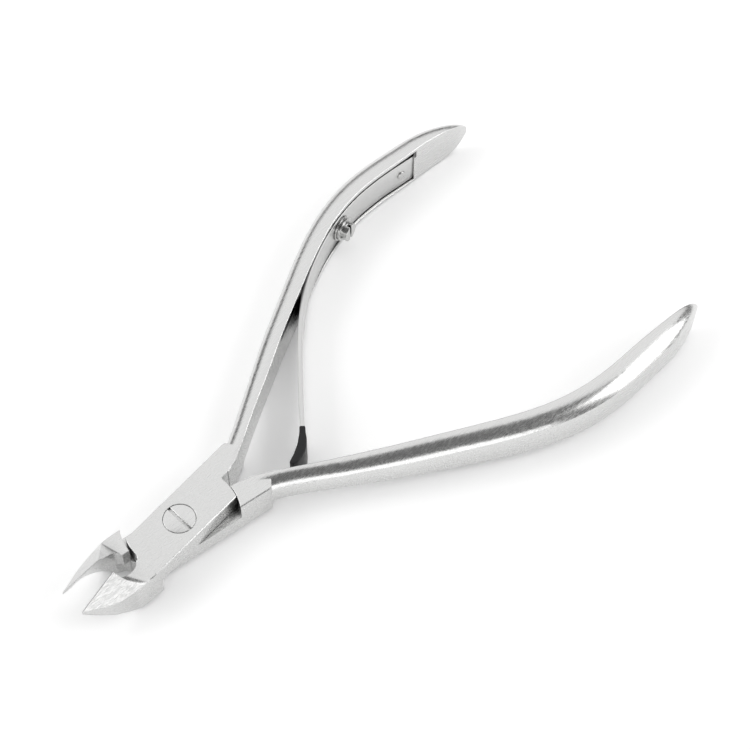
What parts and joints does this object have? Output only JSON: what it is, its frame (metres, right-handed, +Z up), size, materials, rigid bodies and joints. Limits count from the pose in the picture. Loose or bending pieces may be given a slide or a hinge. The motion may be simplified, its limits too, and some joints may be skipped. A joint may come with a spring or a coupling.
{
  "type": "cuticle nipper",
  "caption": "Hand nipper with crossed lap-jointed steel levers, hollow-ground cutting jaws, bowed handles and a sleeved leaf spring.",
  "frame": {"origin": "on the pivot axis, at the flat underside of the lap joint", "axes": "+X towards the jaw tips, +Y towards the handle of the lower lever, +Z up along the pivot screw, out of its head"},
  "size_m": [0.1092, 0.0616, 0.0096],
  "materials": {
    "lever_steel": "satin ground stainless steel, grain along the handles",
    "screw_steel": "fine turned stainless steel",
    "spring_steel": "rolled spring steel strip, brushed along its length",
    "sleeve_plastic": "satin black plastic sleeve"
  },
  "bodies": {
    "upper_lever": {"upper_lever": "lever_steel", "leaf_spring": "spring_steel", "spring_screw": "screw_steel", "spring_washer": "screw_steel", "spring_locating_pin": "screw_steel"},
    "lower_lever": {"lower_lever": "lever_steel", "pivot_screw": "screw_steel"},
    "spring_tip": {"spring_sleeve": "sleeve_plastic"}
  },
  "joints": [
    {"name": "lever_pivot", "type": "hinge", "parent": "upper_lever", "child": "lower_lever", "pos_m": [0, 0, 0.00305], "axis": [0, 0, 1], "range_deg": [0, 12.2], "stiffness_Nm_per_rad": 1.6, "springref_deg": -6.88},
    {"name": "spring_flex", "type": "hinge", "parent": "upper_lever", "child": "spring_tip", "pos_m": [-0.03, -0.003, 0.00305], "axis": [0, 0, 1], "range_deg": [-34.8, 0], "deforming": ["leaf_spring"]}
  ],
  "couplings": [
    {"joint": "spring_flex", "follows": "lever_pivot", "ratio": -2.85}
  ]
}
